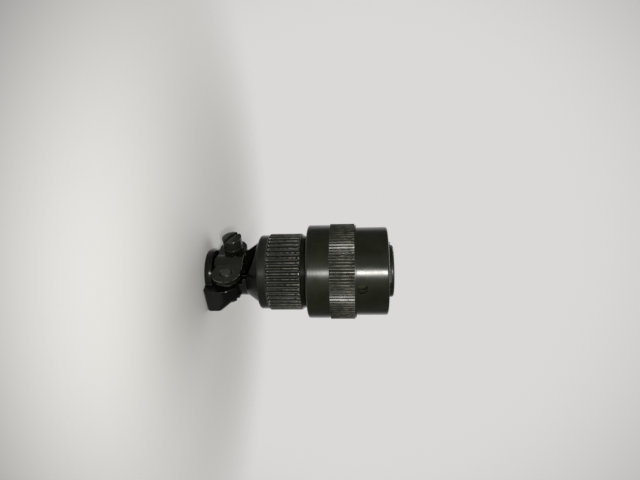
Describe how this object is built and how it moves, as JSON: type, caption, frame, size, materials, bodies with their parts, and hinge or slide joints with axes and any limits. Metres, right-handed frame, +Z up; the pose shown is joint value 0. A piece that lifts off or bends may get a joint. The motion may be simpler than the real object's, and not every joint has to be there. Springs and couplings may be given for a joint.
{
  "type": "plug connector",
  "caption": "Straight circular plug with a knurled bayonet coupling ring, keyed barrel, socket contacts, fluted endbell and a screwed saddle cable clamp.",
  "frame": {"origin": "on the plug's axis, at the tail's end face that it stands on", "axes": "+Z up along the plug's axis towards the receptacle, the plug standing on its tail; -Y towards the camera of the picture; +X completes a right-handed frame"},
  "size_m": [0.0216, 0.0216, 0.0421],
  "materials": {
    "olive_shell": "satin olive-drab conversion coating",
    "dark_steel": "dark olive-tinted plating",
    "spring_steel": "bright spring steel",
    "black_rubber": "matt moulded rubber",
    "insert_plastic": "matt moulded insulator",
    "gilt_contact": "bright gold plate"
  },
  "bodies": {
    "plug": {"plug_shell": "olive_shell", "shell_gasket": "black_rubber", "wave_washer": "spring_steel", "front_insert": "insert_plastic", "rear_insert": "insert_plastic", "contact_1": "gilt_contact", "contact_2": "gilt_contact", "contact_3": "gilt_contact", "contact_4": "gilt_contact", "contact_5": "gilt_contact", "contact_6": "gilt_contact", "contact_7": "gilt_contact", "wire_grommet": "black_rubber", "grommet_ferrule": "insert_plastic", "endbell": "olive_shell", "near_lock_washer": "dark_steel"},
    "thrust": {"thrust_washer": "spring_steel"},
    "coupling": {"coupling_ring": "olive_shell", "retaining_ring": "spring_steel"},
    "saddle": {"clamp_saddle": "olive_shell", "far_lock_washer": "dark_steel"},
    "far_screw": {"far_screw": "dark_steel"},
    "near_screw": {"near_screw": "dark_steel"}
  },
  "joints": [
    {"name": "coupling_float", "type": "slide", "parent": "plug", "child": "thrust", "axis": [0, 0, 1], "range_m": [0, 0.0006], "stiffness_N_per_m": 4000, "deforming": ["wave_washer"]},
    {"name": "coupling_turn", "type": "hinge", "parent": "thrust", "child": "coupling", "pos_m": [0, 0, 0.03], "axis": [0, 0, 1], "continuous": true},
    {"name": "saddle_slide", "type": "slide", "parent": "plug", "child": "saddle", "axis": [-0.8028, -0.5962, 0], "range_m": [-0.0016, 0.0007]},
    {"name": "near_screw_turn", "type": "hinge", "parent": "plug", "child": "near_screw", "pos_m": [0.00268, -0.00361, 0.0051], "axis": [-0.8028, -0.5962, 0], "range_deg": [-398, 908]},
    {"name": "far_screw_turn", "type": "hinge", "parent": "saddle", "child": "far_screw", "pos_m": [-0.00268, 0.00361, 0.0051], "axis": [-0.8028, -0.5962, 0], "range_deg": [-908, 398]}
  ],
  "couplings": [
    {"joint": "near_screw_turn", "follows": "saddle_slide", "rad_per_m": -9894.8},
    {"joint": "far_screw_turn", "follows": "saddle_slide", "rad_per_m": 9894.8}
  ]
}
